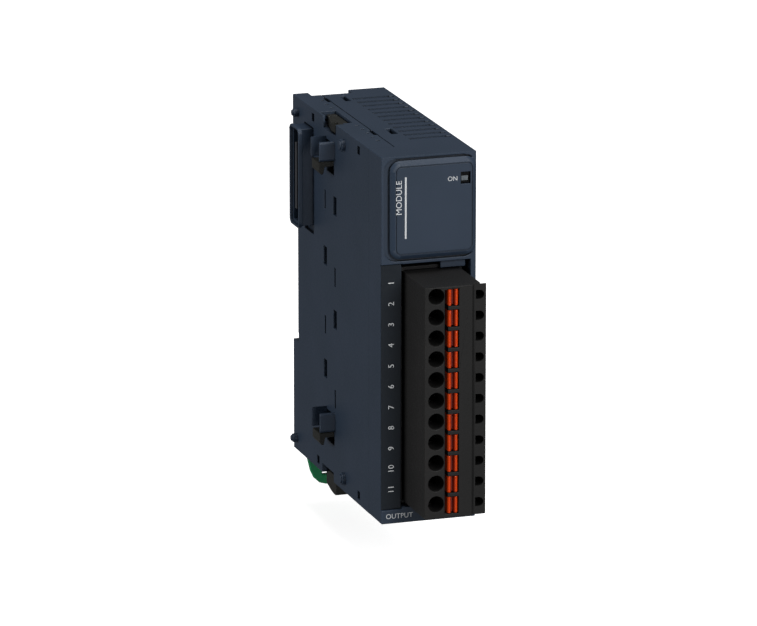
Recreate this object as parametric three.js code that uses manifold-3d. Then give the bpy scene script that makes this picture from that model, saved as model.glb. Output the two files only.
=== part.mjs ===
// A slim controller expansion module for a 35 mm top-hat rail, 23.6 mm wide.
// Case frame: +X to the right from the left face, +Y back from the front face, +Z up from the
// base. The finished group is moved so that its origin is the middle of the rail seat.
import * as THREE from "three";
import { mergeVertices } from "three/addons/utils/BufferGeometryUtils.js";
import Module from "manifold-3d";

// ---- driving dimensions, millimetres -------------------------------------------------------

// Case
const caseWidth = 23.6;
const caseDepth = 70;
const caseHeight = 90;
const wall = 2;
const frontWall = 2.4;
const headDepth = 9.6; // front frame that belongs whole to the main housing
const coverReach = 6.2; // how far the left cover folds over the top and the base
const seamGap = 0.25;
const coverFit = 0.05; // hairline between the cover and the front frame

// Rail seat
const railCentre = 46;
const railHeight = 35;
const railFlange = 1;
const railClearance = 0.5;
const seatDepth = 3.9;
const railHookDrop = 1.7; // how far the fixed hook hangs in front of the rail's top edge
const flangeFit = 0.3;
const reliefHeight = 2.4; // sunk bands of the seat, in front of the fixed hook and the clip's nose
const reliefDepth = 0.3;

// Terminals
const poleCount = 11;
const polePitch = 5.08;
const wireHole = 3.9;
const plugProud = 14.6;
const plugLeft = 6;
const plugRight = 20.2;
const chamberWall = 1.9; // between one clamp chamber and the next
const plugTopWall = 0.61; // past the first pole's chamber
const plugBaseWall = 1.94; // past the last pole's chamber
const insertStep = 0.25; // how far the insert is set in from the plug's ends
const bayLeft = 5.2;
const bayBase = 3.9;
const bayRightWall = 1.4;
const bayBaseGap = 0.97; // bay floor to plug
const bayTopGap = 2.3; // plug to bay ceiling
const bayDepth = 12;
const bayPartition = 1.2;
const headerFront = 3;
const headerRear = 16;
const headerFloor = 3;
const headerWall = 0.9;
const plugFit = 0.25; // clearance round the plug's insert in the header
const pinSize = 0.9;
const pinFit = 0.3;
const buttonWidth = 2.6;
const buttonGap = 1.15; // between one button's head and the next
const buttonDrop = 0.53; // a button's middle below its wire hole's
const buttonHead = 3; // depth of the tall head, in front of the stem
const stemHalf = 1.4;
const buttonTravel = 1;
const pushFit = 0.12;

// Front panel
const panelProud = 1.1;
const panelMarginLeft = 2;
const panelMarginRight = 0.1;
const panelMarginTop = 1.1;
const panelMarginBase = 1.35;
const panelRadius = 2.6;
const panelSlope = 1; // width and height of the slope round the panel
const panelFit = 0.2;
const moatWidth = 0.5; // sunk joint in the housing above and below the panel
const moatLeft = 1.4; // and along the panel's left side
const moatUnder = 0.3; // how far the joint runs in under the panel
const moatDepth = 0.8;
const lampWidth = 2.4;
const lampHeight = 2.9;
const lampMarginRight = 1.75; // panel edge to lamp opening
const lampMarginTop = 3.55;

// Module-to-module lock
const hookLength = 7.4;
const hookHeight = 4.8;
const hookProud = 3.8;
const hookFront = 36.2;
const lowerHookBase = 13.1;
const upperHookDrop = 9.2; // top of the case to the upper hook's underside
const hookRib = 0.7;
const clawLeg = 1.1;
const lockTravel = 3;
const slideFit = 0.3;
const clawFit = 0.2;
const clawArm = 1.5; // underside of a claw's arm, below its hook
const slideThickness = 1.8;
const slideFront = 37;
const slideWidth = 7;

// Bus connector
const busFront = 53;
const busLength = 7.7;
const busHeight = 25.05;
const busTopDrop = 4.8; // top of the case to the shroud's top edge
const busProud = 3.85;
const busLip = 1.05;

// Circuit board
const boardThickness = 1.6;
const boardGap = 5; // board's right face to the case's right face
const boardFit = 0.2;

// Rail clip
const clipHang = 9.8;
const clipHalfLoop = 8.7;
const clipHalfWidth = 4.6;
const clipHalfNeck = 3.2;
const clipFit = 0.2;

// ---- sizes worked out from them ------------------------------------------------------------

const seatY = caseDepth - seatDepth;
const railTop = railCentre + railHeight / 2 + railClearance;
const railBase = railCentre - railHeight / 2 - railClearance;
const flangeBack = seatY + railFlange + flangeFit;
const innerRear = seatY - wall;
const bayRight = caseWidth - bayRightWall;
const plugBase = bayBase + bayBaseGap;
const chamberHalf = (polePitch - chamberWall) / 2;
const lowestPole = plugBase + chamberHalf + plugBaseWall;
const plugTop = lowestPole + (poleCount - 1) * polePitch + chamberHalf + plugTopWall;
const bayTop = plugTop + bayTopGap;
const panelBase = bayTop + panelMarginBase;
const panelTop = caseHeight - panelMarginTop;
const panelRight = caseWidth - panelMarginRight;
const lampRight = panelRight - lampMarginRight;
const lampLeft = lampRight - lampWidth;
const lampTop = panelTop - lampMarginTop;
const lampBase = lampTop - lampHeight;
const boardRight = caseWidth - boardGap;
const boardLeft = boardRight - boardThickness;
const slideLeft = wall + slideFit;
const slideRight = slideLeft + slideThickness;
const slideRear = slideFront + slideWidth;
const upperHookBase = caseHeight - upperHookDrop;
const busTop = caseHeight - busTopDrop;
const busBase = busTop - busHeight;
const busRear = busFront + busLength;
const hookBases = [lowerHookBase, upperHookBase];
const clawDrop = lockTravel + slideFit;
const farAway = 200; // longer than anything here, for cuts that run right through

// ---- finishes ------------------------------------------------------------------------------

function finish(color, roughness, metalness = 0) {
  return new THREE.MeshStandardMaterial({ color, roughness, metalness });
}
const casePlastic = () => finish(0x2c333d, 0.55);
const labelFilm = () => finish(0x1b232d, 0.45);
const smokedPlastic = () => finish(0x0b0c0e, 0.2);
const lightGuide = () => finish(0xb9bdb8, 0.15);
const plugPlastic = () => finish(0x232323, 0.5);
const headerPlastic = () => finish(0x151515, 0.55);
const buttonPlastic = () => finish(0xd93a0c, 0.4);
const clipPlastic = () => finish(0x0a7a47, 0.45);
const slidePlastic = () => finish(0x1c1d16, 0.5);
const boardLaminate = () => finish(0x0f5a34, 0.5);
const tinnedBrass = () => finish(0xbfbcae, 0.3, 1);
const springSteel = () => finish(0x9a9ca0, 0.35, 1);
const chipEpoxy = () => finish(0x1a1a1c, 0.6);
const canAluminium = () => finish(0xb8bcc2, 0.3, 1);
const coreFerrite = () => finish(0x2e2b2a, 0.7);

// ---- solids --------------------------------------------------------------------------------

const wasm = await Module();
wasm.setup();

function solidOf(geometry) {
  geometry.deleteAttribute("normal");
  geometry.deleteAttribute("uv");
  const merged = mergeVertices(geometry, 1e-4);
  return new wasm.Manifold(
    new wasm.Mesh({
      numProp: 3,
      vertProperties: merged.attributes.position.array,
      triVerts: new Uint32Array(merged.index.array),
    }),
  );
}

// A box between two values on each axis.
function block(x0, x1, y0, y1, z0, z1) {
  const box = new THREE.BoxGeometry(x1 - x0, y1 - y0, z1 - z0);
  return solidOf(box.translate((x0 + x1) / 2, (y0 + y1) / 2, (z0 + z1) / 2));
}

// A flat outline pushed along one axis. The outline's own pair of axes is y,z along x,
// x,z along y, and x,y along z.
const frames = {
  x: new THREE.Matrix4().set(0, 0, 1, 0, 1, 0, 0, 0, 0, 1, 0, 0, 0, 0, 0, 1),
  y: new THREE.Matrix4().set(1, 0, 0, 0, 0, 0, -1, 0, 0, 1, 0, 0, 0, 0, 0, 1),
  z: new THREE.Matrix4(),
};
function prism(axis, outline, from, to, bevel = 0) {
  const isShape = outline instanceof THREE.Shape;
  const shape = isShape ? outline : new THREE.Shape(outline.map(([u, v]) => new THREE.Vector2(u, v)));
  const geometry = new THREE.ExtrudeGeometry(shape, {
    depth: to - from - 2 * bevel,
    bevelEnabled: bevel > 0,
    bevelThickness: bevel,
    bevelSize: bevel,
    bevelOffset: -bevel,
    bevelSegments: 1,
    curveSegments: 5,
  });
  geometry.translate(0, 0, axis === "y" ? bevel - to : bevel + from);
  return solidOf(geometry.applyMatrix4(frames[axis]));
}

// A round bar along an axis, centred at u,v on the other two.
function rod(axis, u, v, radius, from, to, sides = 16) {
  const shape = new THREE.Shape();
  for (let i = 0; i < sides; i += 1) {
    const angle = (2 * Math.PI * i) / sides;
    const [a, b] = [u + radius * Math.cos(angle), v + radius * Math.sin(angle)];
    if (i === 0) {
      shape.moveTo(a, b);
    } else {
      shape.lineTo(a, b);
    }
  }
  return prism(axis, shape, from, to);
}

// A rectangle with round corners, as an outline.
function roundedRect(u0, u1, v0, v1, radius) {
  const shape = new THREE.Shape();
  const quarter = Math.PI / 2;
  shape.moveTo(u0 + radius, v0);
  shape.lineTo(u1 - radius, v0);
  shape.absarc(u1 - radius, v0 + radius, radius, -quarter, 0, false);
  shape.lineTo(u1, v1 - radius);
  shape.absarc(u1 - radius, v1 - radius, radius, 0, quarter, false);
  shape.lineTo(u0 + radius, v1);
  shape.absarc(u0 + radius, v1 - radius, radius, quarter, 2 * quarter, false);
  shape.lineTo(u0, v0 + radius);
  shape.absarc(u0 + radius, v0 + radius, radius, 2 * quarter, 3 * quarter, false);
  return shape;
}

const join = (first, ...rest) => rest.reduce((sum, part) => sum.add(part), first);
const cut = (first, ...rest) => rest.reduce((left, part) => left.subtract(part), first);

const group = new THREE.Group();
group.position.set(-caseWidth / 2, -seatY, -railCentre);

function place(name, solid, material) {
  const { vertProperties, triVerts } = solid.getMesh();
  const geometry = new THREE.BufferGeometry();
  geometry.setAttribute("position", new THREE.BufferAttribute(new Float32Array(vertProperties), 3));
  geometry.setIndex(new THREE.BufferAttribute(new Uint32Array(triVerts), 1));
  const mesh = new THREE.Mesh(geometry, material);
  mesh.name = name;
  group.add(mesh);
}

// ---- terminal poles ------------------------------------------------------------------------

const poleNumbers = Array.from({ length: poleCount }, (_, i) => i + 1); // 1 at the top
const poleHeight = (number) => lowestPole + (poleCount - number) * polePitch;
const holeX = plugLeft + 2.82;
const buttonX = holeX + 4.2;
const pinX = holeX + 6.68;
const insertLeft = plugLeft + 1;
const insertRight = plugRight - 0.2;
const insertBase = plugBase + insertStep;
const insertTop = plugTop - insertStep;
const insertRear = headerRear - headerFloor - 0.4;
const cavityFront = -9;
const buttonRear = cavityFront + 1;
const buttonFront = -plugProud + 0.1;
const headRear = buttonFront + buttonHead;
const headHalf = (polePitch - buttonGap) / 2;
const cavityRear = 2.4;
const contactRear = 6.6;
const clampFront = buttonRear + buttonTravel + 0.22;
const pinLegY = headerRear + 2.85; // where the pins turn towards the board

// ---- case ----------------------------------------------------------------------------------

// The whole outer shell, still in one piece: hollow, with the rail seat in its back.
const dipLeft = 3.9; // shallow dip in the top's rear edge
const dipRight = 14.2;
const dipLength = 3.4;
const dipDepth = 0.9;
function caseShell() {
  const outer = block(0, caseWidth, 0, caseDepth, 0, caseHeight);
  const hollow = block(wall, caseWidth - wall, frontWall, innerRear, wall, caseHeight - wall);
  const upperBack = block(
    wall, caseWidth - wall, innerRear - 1, caseDepth - wall, railTop + wall, caseHeight - wall);
  const seat = block(-1, caseWidth + 1, seatY, caseDepth + 1, railBase, railTop);
  const reliefs = [railBase, railTop - reliefHeight].map((z) =>
    block(-1, caseWidth + 1, seatY - reliefDepth, seatY + 1, z, z + reliefHeight));
  const rearDip = block(dipLeft, dipRight, caseDepth - dipLength, caseDepth + 1,
    caseHeight - dipDepth, caseHeight + 1);
  return cut(outer, hollow, upperBack, seat, ...reliefs, rearDip);
}

// Slots through the top that straddle the seam, where the two halves snap together.
const snapLength = 5.1;
const snapReach = 0.6; // how far a slot runs in under the cover's edge
const snapStations = [22.6, caseDepth - 11.3];
function seamSlots() {
  return join(...snapStations.map((y) =>
    block(coverReach - snapReach, coverReach + seamGap + 0.2, y, y + snapLength,
      caseHeight - wall - 1, caseHeight + 1)));
}

// The fixed hook that the rail's top edge slips behind.
function railHook() {
  return block(coverReach + seamGap, caseWidth, flangeBack, caseDepth, railTop - railHookDrop,
    railTop + 0.5);
}

// Guide for the rail clip: a T-shaped channel, open to the back and below.
const clipMiddle = caseWidth / 2;
const clipFront = seatY + 0.4;
const clipLipFront = clipFront + 1.8;
const clipRear = caseDepth - 0.4;
const clipShoulder = railBase - 2;
function clipChannel() {
  const wide = clipHalfWidth + clipFit;
  const neck = clipHalfNeck + clipFit;
  return join(
    block(clipMiddle - wide, clipMiddle + wide, clipFront - clipFit, clipLipFront, -1, clipShoulder),
    block(clipMiddle - neck, clipMiddle + neck, clipLipFront - 0.5, caseDepth + 1, -1, railBase + 0.1),
    block(clipMiddle - neck, clipMiddle + neck, flangeBack - clipFit, caseDepth + 1,
      clipShoulder, railBase + 0.1));
}

// Shallow cooling grooves across the top, each ending in a deeper notch at the right.
const grooveCount = 12;
const groovePitch = 3.98;
const grooveStart = 16.1;
const grooveLeft = 12.2;
const grooveWidth = 1.9;
const grooveDepth = 0.35;
const grooveMarginRight = 0.9;
const notchWidth = 1.1;
const notchLength = 1.5;
const notchDepth = 1;
function topGrooves() {
  const cuts = [];
  for (let i = 0; i < grooveCount; i += 1) {
    const y = grooveStart + i * groovePitch;
    const [top, right] = [caseHeight + 1, caseWidth - grooveMarginRight];
    const [half, notchHalf] = [grooveWidth / 2, notchWidth / 2];
    cuts.push(block(grooveLeft, right - notchLength + 0.5, y - half, y + half,
      caseHeight - grooveDepth, top));
    cuts.push(block(right - notchLength, right, y - notchHalf, y + notchHalf,
      caseHeight - notchDepth, top));
  }
  return join(...cuts);
}

// Two moulding windows in the top, right of the seam.
const topWindowLeft = 9.9;
const topWindowWidth = 1.5;
const topWindowLength = 5.7;
function topWindows() {
  return join(...snapStations.map((y) =>
    block(topWindowLeft, topWindowLeft + topWindowWidth, y - 0.4, y - 0.4 + topWindowLength,
      caseHeight - wall - 1, caseHeight + 1)));
}

// Air slots in the base.
const airSlots = 7;
const airSlotStart = 20;
const airSlotPitch = 5.97;
const airSlotWidth = 1.6;
const airSlotMargin = 3; // from the seam on the left, and from the side wall's face on the right
function baseSlots() {
  const cuts = [];
  for (let i = 0; i < airSlots; i += 1) {
    const y = airSlotStart + i * airSlotPitch;
    cuts.push(block(coverReach + airSlotMargin, caseWidth - airSlotMargin, y, y + airSlotWidth,
      -1, wall + 0.5));
  }
  return join(...cuts);
}

// The plug bay: an opening in the front with its own tunnel walls.
function bayTunnel() {
  return block(bayLeft - bayPartition, bayRight + 0.1, frontWall - 0.1, bayDepth,
    wall - 0.1, bayTop + bayPartition);
}
function bayOpening() {
  return block(bayLeft, bayRight, -1, farAway, bayBase, bayTop);
}

// Key block hanging from the bay's ceiling beside the plug's locking edge.
const keyWidth = 6.3;
const keyMarginRight = 0.7;
const keySink = 1.6; // how far its face lies behind the front of the case
function bayKey() {
  const right = bayRight - keyMarginRight;
  return block(right - keyWidth, right, keySink, frontWall, plugTop + plugFit, bayTop + 0.1);
}

// Sunk column in the front face, left of the plug, for the label strip.
const labelSink = 1;
const labelBase = 3.4;
const labelTop = bayTop + 0.1;
function labelColumn() {
  return block(-1, bayLeft + 0.01, -1, labelSink, labelBase, labelTop);
}

// Opening behind the front panel.
const panelSkirtInset = 2;
const lampHolderRear = 4.4;
function panelWindow() {
  const inset = panelSkirtInset - panelFit;
  const window = block(panelMarginLeft + inset, panelRight - inset, -1, frontWall + 0.1,
    panelBase + inset, panelTop - inset);
  const lamp = block(lampLeft - panelFit, lampRight + panelFit, -1, lampHolderRear + slideFit,
    lampBase - panelFit, lampTop + panelFit);
  return join(window, lamp);
}

// Sunk joint round the panel, on all sides but the right, where the panel meets the case's edge.
function panelMoat() {
  const [front, rear] = [-1, moatDepth];
  const outer = prism("y", roundedRect(panelMarginLeft - moatLeft, panelRight, panelBase - moatWidth,
    panelTop + moatWidth, panelRadius + moatWidth), front, rear);
  const under = prism("y", roundedRect(panelMarginLeft + moatUnder, panelRight + farAway,
    panelBase + moatUnder, panelTop - moatUnder, panelRadius - moatUnder), front - 1, rear + 1);
  return cut(outer, under);
}

// Windows in the right wall that take the next module's hooks, pegs and bus shroud.
const hookFit = 0.25;
function neighbourWindows() {
  const rightIn = caseWidth - wall - 0.1;
  const hooks = hookBases.map((z) => block(rightIn, caseWidth + 1, hookFront - hookFit,
    hookFront + hookLength + hookFit, z - hookFit, z + hookHeight + hookFit));
  const pegs = pegStations.map(([y, z]) =>
    rod("x", y, z, pegRadius + hookFit, caseWidth - 1.8, caseWidth + 1, 12));
  const bosses = bossStations.map(([y, z]) =>
    rod("x", y, z, bossRadius + hookFit, caseWidth - 1.5, caseWidth + 1, 14));
  const bus = prism("x", roundedRect(busFront - hookFit, busRear + hookFit, busBase - hookFit,
    busTop + hookFit, 1.6), rightIn, caseWidth + 1);
  return join(bus, ...hooks, ...pegs, ...bosses);
}

// Posts on the right wall that carry the board.
const postRadius = 1.8;
const upperPostDrop = 6.5; // top of the case to the upper posts' centres
const postStations = [[21, 5.8], [58, 10], [30, caseHeight - upperPostDrop],
  [50, caseHeight - upperPostDrop]];
function boardPosts() {
  return join(...postStations.map(([y, z]) =>
    rod("x", y, z, postRadius, boardRight + boardFit, caseWidth - wall + 0.1, 12)));
}

function mainHousing(shell) {
  const coverSide = block(-1, coverReach + seamGap, headDepth, farAway, -1, caseHeight + 1);
  const tunnel = cut(bayTunnel(), block(wall, caseWidth, headDepth, bayDepth + 1, -1, wall));
  const body = join(cut(shell, coverSide), railHook(), tunnel);
  return join(
    cut(body, bayOpening().intersect(block(-1, farAway, -1, bayDepth + 1, -1, farAway)), labelColumn(),
      panelWindow(), panelMoat(), clipChannel(), topGrooves(), topWindows(), seamSlots(), baseSlots(),
      neighbourWindows()),
    bayKey(), boardPosts());
}

// Hook on the cover: two ribs, with the lock's claw between them. The claw retires through
// the wall behind them, and drops out below.
function coverHook(z) {
  const outer = prism("x", roundedRect(hookFront, hookFront + hookLength, z, z + hookHeight, 0.6),
    -hookProud, 0.1, 0);
  const [front, rear] = [hookFront + hookRib, hookFront + hookLength - hookRib];
  const between = block(-hookProud - 1, 0, front, rear, z - 1, z + hookHeight + 1);
  const room = block(-1, wall + 1, front, rear, z - clawDrop - slideFit, z + hookHeight - hookRib);
  return { outer, room: join(between, room) };
}

// Guide windows in the cover's wall, seen as two columns of slots.
const frontSlotLead = 0.75; // how far the front column lies in front of the lock slide's edge
const slotHeight = 4.6;
const wideSlot = 2.7;
const thinSlot = 1;
const frontSlots = [[69.6, wideSlot], [51.9, thinSlot], [41.3, wideSlot], [21.3, thinSlot]];
const rearSlots = [[69.6, thinSlot], [55.5, wideSlot], [38.2, thinSlot], [27.1, wideSlot]];
function guideSlots() {
  const column = (y, slots) => slots.map(([z, width]) =>
    block(-1, wall + 1, y - width / 2, y + width / 2, z - slotHeight / 2, z + slotHeight / 2));
  return join(...column(slideFront - frontSlotLead, frontSlots), ...column(slideRear, rearSlots));
}

// Small catch windows near the cover's top and bottom edges.
const catchHalf = 1;
const catchInset = 2.3; // window's centre in from the case's top or base
const catchStations = [[53.6, caseHeight - catchInset], [17.7, caseHeight - catchInset],
  [50, catchInset], [17.8, catchInset]];
function catchWindows() {
  return join(...catchStations.map(([y, z]) =>
    block(-1, wall + 0.05, y - catchHalf, y + catchHalf, z - catchHalf, z + catchHalf)));
}

// Small marks left by moulding pins on the front part of the cover.
const pitRadius = 0.35;
const pitDepth = 0.4;
const pitStations = [[4.6, 70.6], [3.9, 65.4], [4.6, 25.3], [3.8, 20.2]];
function gatePits() {
  return join(...pitStations.map(([y, z]) => rod("x", y, z, pitRadius, -1, pitDepth, 8)));
}

// Opening for the lock slide's thumb tab at the top and for its blade in the base.
const bladeFront = 38.6;
const bladeRear = 46.4;
const bladeLeft = 1;
const bladeTop = 1;
const tabFront = slideFront;
const tabRear = tabFront + 11.3;
const tabRoom = 0.7; // free in front of the tab
const tabRoomRear = 1.3;
const tabRoomRight = 0.4;
const tabWindow = 2.9; // depth of the opening in the side wall, below the top
const tabShelf = 0.6; // wall left standing outside the rear of the tab
const bladeNotch = 2.3; // height of the notch beside the blade
function slideOpenings() {
  const [right, top] = [slideRight + tabRoomRight, caseHeight + 1];
  return join(
    block(-1, wall + 0.1, tabFront - tabRoom - 1, slideRear + tabRoomRear, caseHeight - tabWindow, top),
    block(-1, right, tabFront - tabRoom, slideRear + tabRoomRear, caseHeight - wall - 0.1, top),
    block(tabShelf, right, tabFront - tabRoom, tabRear + tabRoomRear, caseHeight - tabWindow, top),
    block(bladeLeft - slideFit, slideRight + slideFit, bladeFront - slideFit, bladeRear + slideFit,
      -1, bladeTop + lockTravel + slideFit),
    block(-1, bladeLeft, slideFront + 0.5, bladeRear + slideFit, -1, bladeNotch));
}

// Locating pegs at the rear corners and round bosses beside the hooks.
const pegRadius = 1.1;
const pegProud = 1.6;
const pegStations = [[65.7, caseHeight - 3.7], [67.3, 3.2]];
const bossRadius = 1.5;
const bossProud = 1.3;
const bossStations = [[29, caseHeight - 3.5], [28.9, 3.4]];
const tipStep = 0.4; // the last of a peg or boss is thinner, to lead it in
const tipInset = 0.35;
function steppedPeg(y, z, radius, proud, sides) {
  return join(rod("x", y, z, radius, -proud + tipStep, 0.1, sides),
    rod("x", y, z, radius - tipInset, -proud, 0.1, sides));
}
function pegsAndBosses() {
  return join(...pegStations.map(([y, z]) => steppedPeg(y, z, pegRadius, pegProud, 12)),
    ...bossStations.map(([y, z]) => steppedPeg(y, z, bossRadius, bossProud, 14)));
}

// Sunk field and window round the bus connector.
const busNeckInset = 0.4;
const busNeckFront = busFront + 1.2; // the neck stands further back than the lip
const busFieldSink = 1;
const busFieldDrop = 1.65; // how far the field reaches below the lip
function busWindow() {
  const field = block(-1, busFieldSink, busFront + 0.2, busRear - 0.1, busBase - busFieldDrop, busTop - 0.1);
  const window = block(-1, wall + 1, busNeckFront - panelFit, busRear - busNeckInset + panelFit,
    busBase + busNeckInset - panelFit, busTop - busNeckInset + panelFit);
  return join(field, window);
}

// Cooling dimples along the cover's top edge, in line with the grooves.
const dimpleSize = 0.9;
const dimpleLeft = 4.2;
const dimpleDepth = 0.5;
function coverDimples() {
  const cuts = [];
  for (let i = 0; i < grooveCount; i += 1) {
    const y = grooveStart + i * groovePitch + dimpleSize / 2;
    if (y + dimpleSize < tabFront - tabRoom || y > tabRear + tabRoomRear) {
      cuts.push(block(dimpleLeft, dimpleLeft + dimpleSize, y, y + dimpleSize,
        caseHeight - dimpleDepth, caseHeight + 1));
    }
  }
  return join(...cuts);
}

function sideCover(shell) {
  const region = block(-1, coverReach, headDepth + coverFit, farAway, -1, farAway);
  const hooks = hookBases.map(coverHook);
  const body = join(shell.intersect(region), pegsAndBosses(), ...hooks.map((hook) => hook.outer));
  return cut(body, ...hooks.map((hook) => hook.room), guideSlots(), catchWindows(),
    slideOpenings(), busWindow(), coverDimples(), seamSlots(), gatePits());
}

const shell = caseShell();
place("main_housing", mainHousing(shell), casePlastic());
place("side_cover", sideCover(shell), casePlastic());

// ---- front panel, lamp and label -----------------------------------------------------------

const guideLeft = lampLeft + 0.3;
const guideRight = lampRight - 0.5;
const guideBase = lampBase + 0.75;
const guideTop = guideBase + 1.1;
const panelBack = 0.6;
const panelSkirtWall = 1.2;
const rimInset = 0.15; // thin line round the panel's flat field, inside the slope
const rimWidth = 0.3;
const rimDepth = 0.25;

// A rounded rectangle as far in from the panel's edge as inset says.
function panelOutline(inset) {
  return roundedRect(panelMarginLeft + inset, panelRight - inset, panelBase + inset, panelTop - inset,
    panelRadius - inset);
}

function frontPanel() {
  const face = prism("y", panelOutline(0), -panelProud, panelSlope, panelSlope);
  const inFront = block(-1, caseWidth + 1, -farAway, 0, 0, caseHeight);
  const skirt = block(panelMarginLeft + panelSkirtInset, panelRight - panelSkirtInset, -0.1, frontWall,
    panelBase + panelSkirtInset, panelTop - panelSkirtInset);
  const room = panelSkirtInset + panelSkirtWall;
  const skirtRoom = block(panelMarginLeft + room, panelRight - room, panelBack, frontWall + 1,
    panelBase + room, panelTop - room);
  const lampHole = block(lampLeft, lampRight, -farAway, farAway, lampBase, lampTop);
  const [rimFront, rimRear] = [-panelProud - 1, -panelProud + rimDepth];
  const rim = cut(prism("y", panelOutline(panelSlope + rimInset), rimFront, rimRear),
    prism("y", panelOutline(panelSlope + rimInset + rimWidth), rimFront - 1, rimRear + 1));
  return cut(join(face.intersect(inFront), skirt), skirtRoom, lampHole, rim);
}
place("front_panel", frontPanel(), casePlastic());

// Black holder that fills the panel's lamp opening round the light guide.
function lampHolder() {
  const gap = panelFit / 2;
  const nose = block(lampLeft + gap, lampRight - gap, -panelProud + 0.7, lampHolderRear,
    lampBase + gap, lampTop - gap);
  const guide = block(guideLeft - gap, guideRight + gap, -farAway, farAway, guideBase - gap, guideTop + gap);
  return cut(nose, guide);
}
place("lamp_holder", lampHolder(), smokedPlastic());

const ledFront = 8.4;
place("light_guide", block(guideLeft, guideRight, -panelProud + 0.55, ledFront - 0.3, guideBase, guideTop),
  lightGuide());

const labelFit = 0.2;
const labelThickness = 0.35;
place("label_strip", block(labelFit, bayLeft - labelFit, labelSink - labelThickness, labelSink,
  labelBase + labelFit, labelTop - labelFit), labelFilm());

// ---- bus connector -------------------------------------------------------------------------

const busMouth = 0.8;
const busRim = 0.6; // the lip's opening is wider than the neck's
const busRimDepth = 0.8;
const busFloor = 2.4;
const busBack = 6;
const busRadius = 1.6;
function busShroud() {
  const lip = prism("x", roundedRect(busFront, busRear, busBase, busTop, busRadius),
    -busProud, -busProud + busLip);
  const neck = block(-busProud + 0.5, busBack, busNeckFront, busRear - busNeckInset,
    busBase + busNeckInset, busTop - busNeckInset);
  const inset = busNeckInset + busMouth;
  const mouth = block(-busProud - 1, busFloor, busNeckFront + busMouth, busRear - inset,
    busBase + inset, busTop - inset);
  const lipMouth = prism("x", roundedRect(busFront + busRim, busRear - busRim, busBase + busRim,
    busTop - busRim, busRadius - busRim), -busProud - 1, -busProud + busRimDepth);
  return cut(join(lip, neck), mouth, lipMouth);
}
place("bus_shroud", busShroud(), casePlastic());

// Tongue that carries the bus contacts inside the shroud.
const busMiddle = (busNeckFront + busMouth + busRear - busNeckInset - busMouth) / 2;
const tongueHalf = 0.6;
const tongueSink = 0.6;
const tongueInset = 4.2; // from the lip's top and base
const tongueFit = 0.25;
place("bus_tongue", block(-busProud + tongueSink, busFloor, busMiddle - tongueHalf,
  busMiddle + tongueHalf, busBase + tongueInset, busTop - tongueInset), headerPlastic());

// Socket on the right, inside the case wall, for the next module's shroud and tongue.
function busSocket() {
  const inset = busNeckInset + busMouth + 0.35;
  const body = block(boardRight + boardFit, caseWidth - 0.6, busFront + inset, busRear - inset,
    busBase + inset, busTop - inset);
  const half = tongueHalf + tongueFit;
  const slot = block(boardRight + 1.2, caseWidth + 1, busMiddle - half, busMiddle + half,
    busBase + tongueInset - tongueFit, busTop - tongueInset + tongueFit);
  return cut(body, slot);
}
place("bus_socket", busSocket(), headerPlastic());

// Connector block between the shroud and the board.
const riserInsetEnds = 3;
const riserInsetSides = 2;
place("bus_riser", block(busBack + 0.1, boardLeft - boardFit, busFront + riserInsetSides,
  busRear - riserInsetSides, busBase + riserInsetEnds, busTop - riserInsetEnds), headerPlastic());

// ---- terminal header, pins and plug --------------------------------------------------------

function terminalHeader() {
  const [left, right] = [insertLeft - plugFit, insertRight + plugFit];
  const [base, top] = [insertBase - plugFit, insertTop + plugFit];
  const outer = block(left - headerWall, right + headerWall, headerFront, headerRear,
    base - headerWall, top + headerWall);
  const socket = block(left, right, headerFront - 1, headerRear - headerFloor, base, top);
  const half = pinSize / 2 + pinFit;
  const bores = poleNumbers.map((number) => block(pinX - half, pinX + half, headerFront, headerRear + 1,
    poleHeight(number) - half, poleHeight(number) + half));
  return cut(outer, socket, ...bores);
}
place("terminal_header", terminalHeader(), headerPlastic());

// Square pin: straight through the header, then turned into the board.
const pinTip = cavityRear + 1.2;
function headerPin(z) {
  const half = pinSize / 2;
  const outline = [[pinX - half, pinTip], [pinX + half, pinTip], [pinX + half, pinLegY - half],
    [boardRight + 0.7, pinLegY - half], [boardRight + 0.7, pinLegY + half], [pinX - half, pinLegY + half]];
  return prism("z", outline, z - half, z + half);
}

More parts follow.
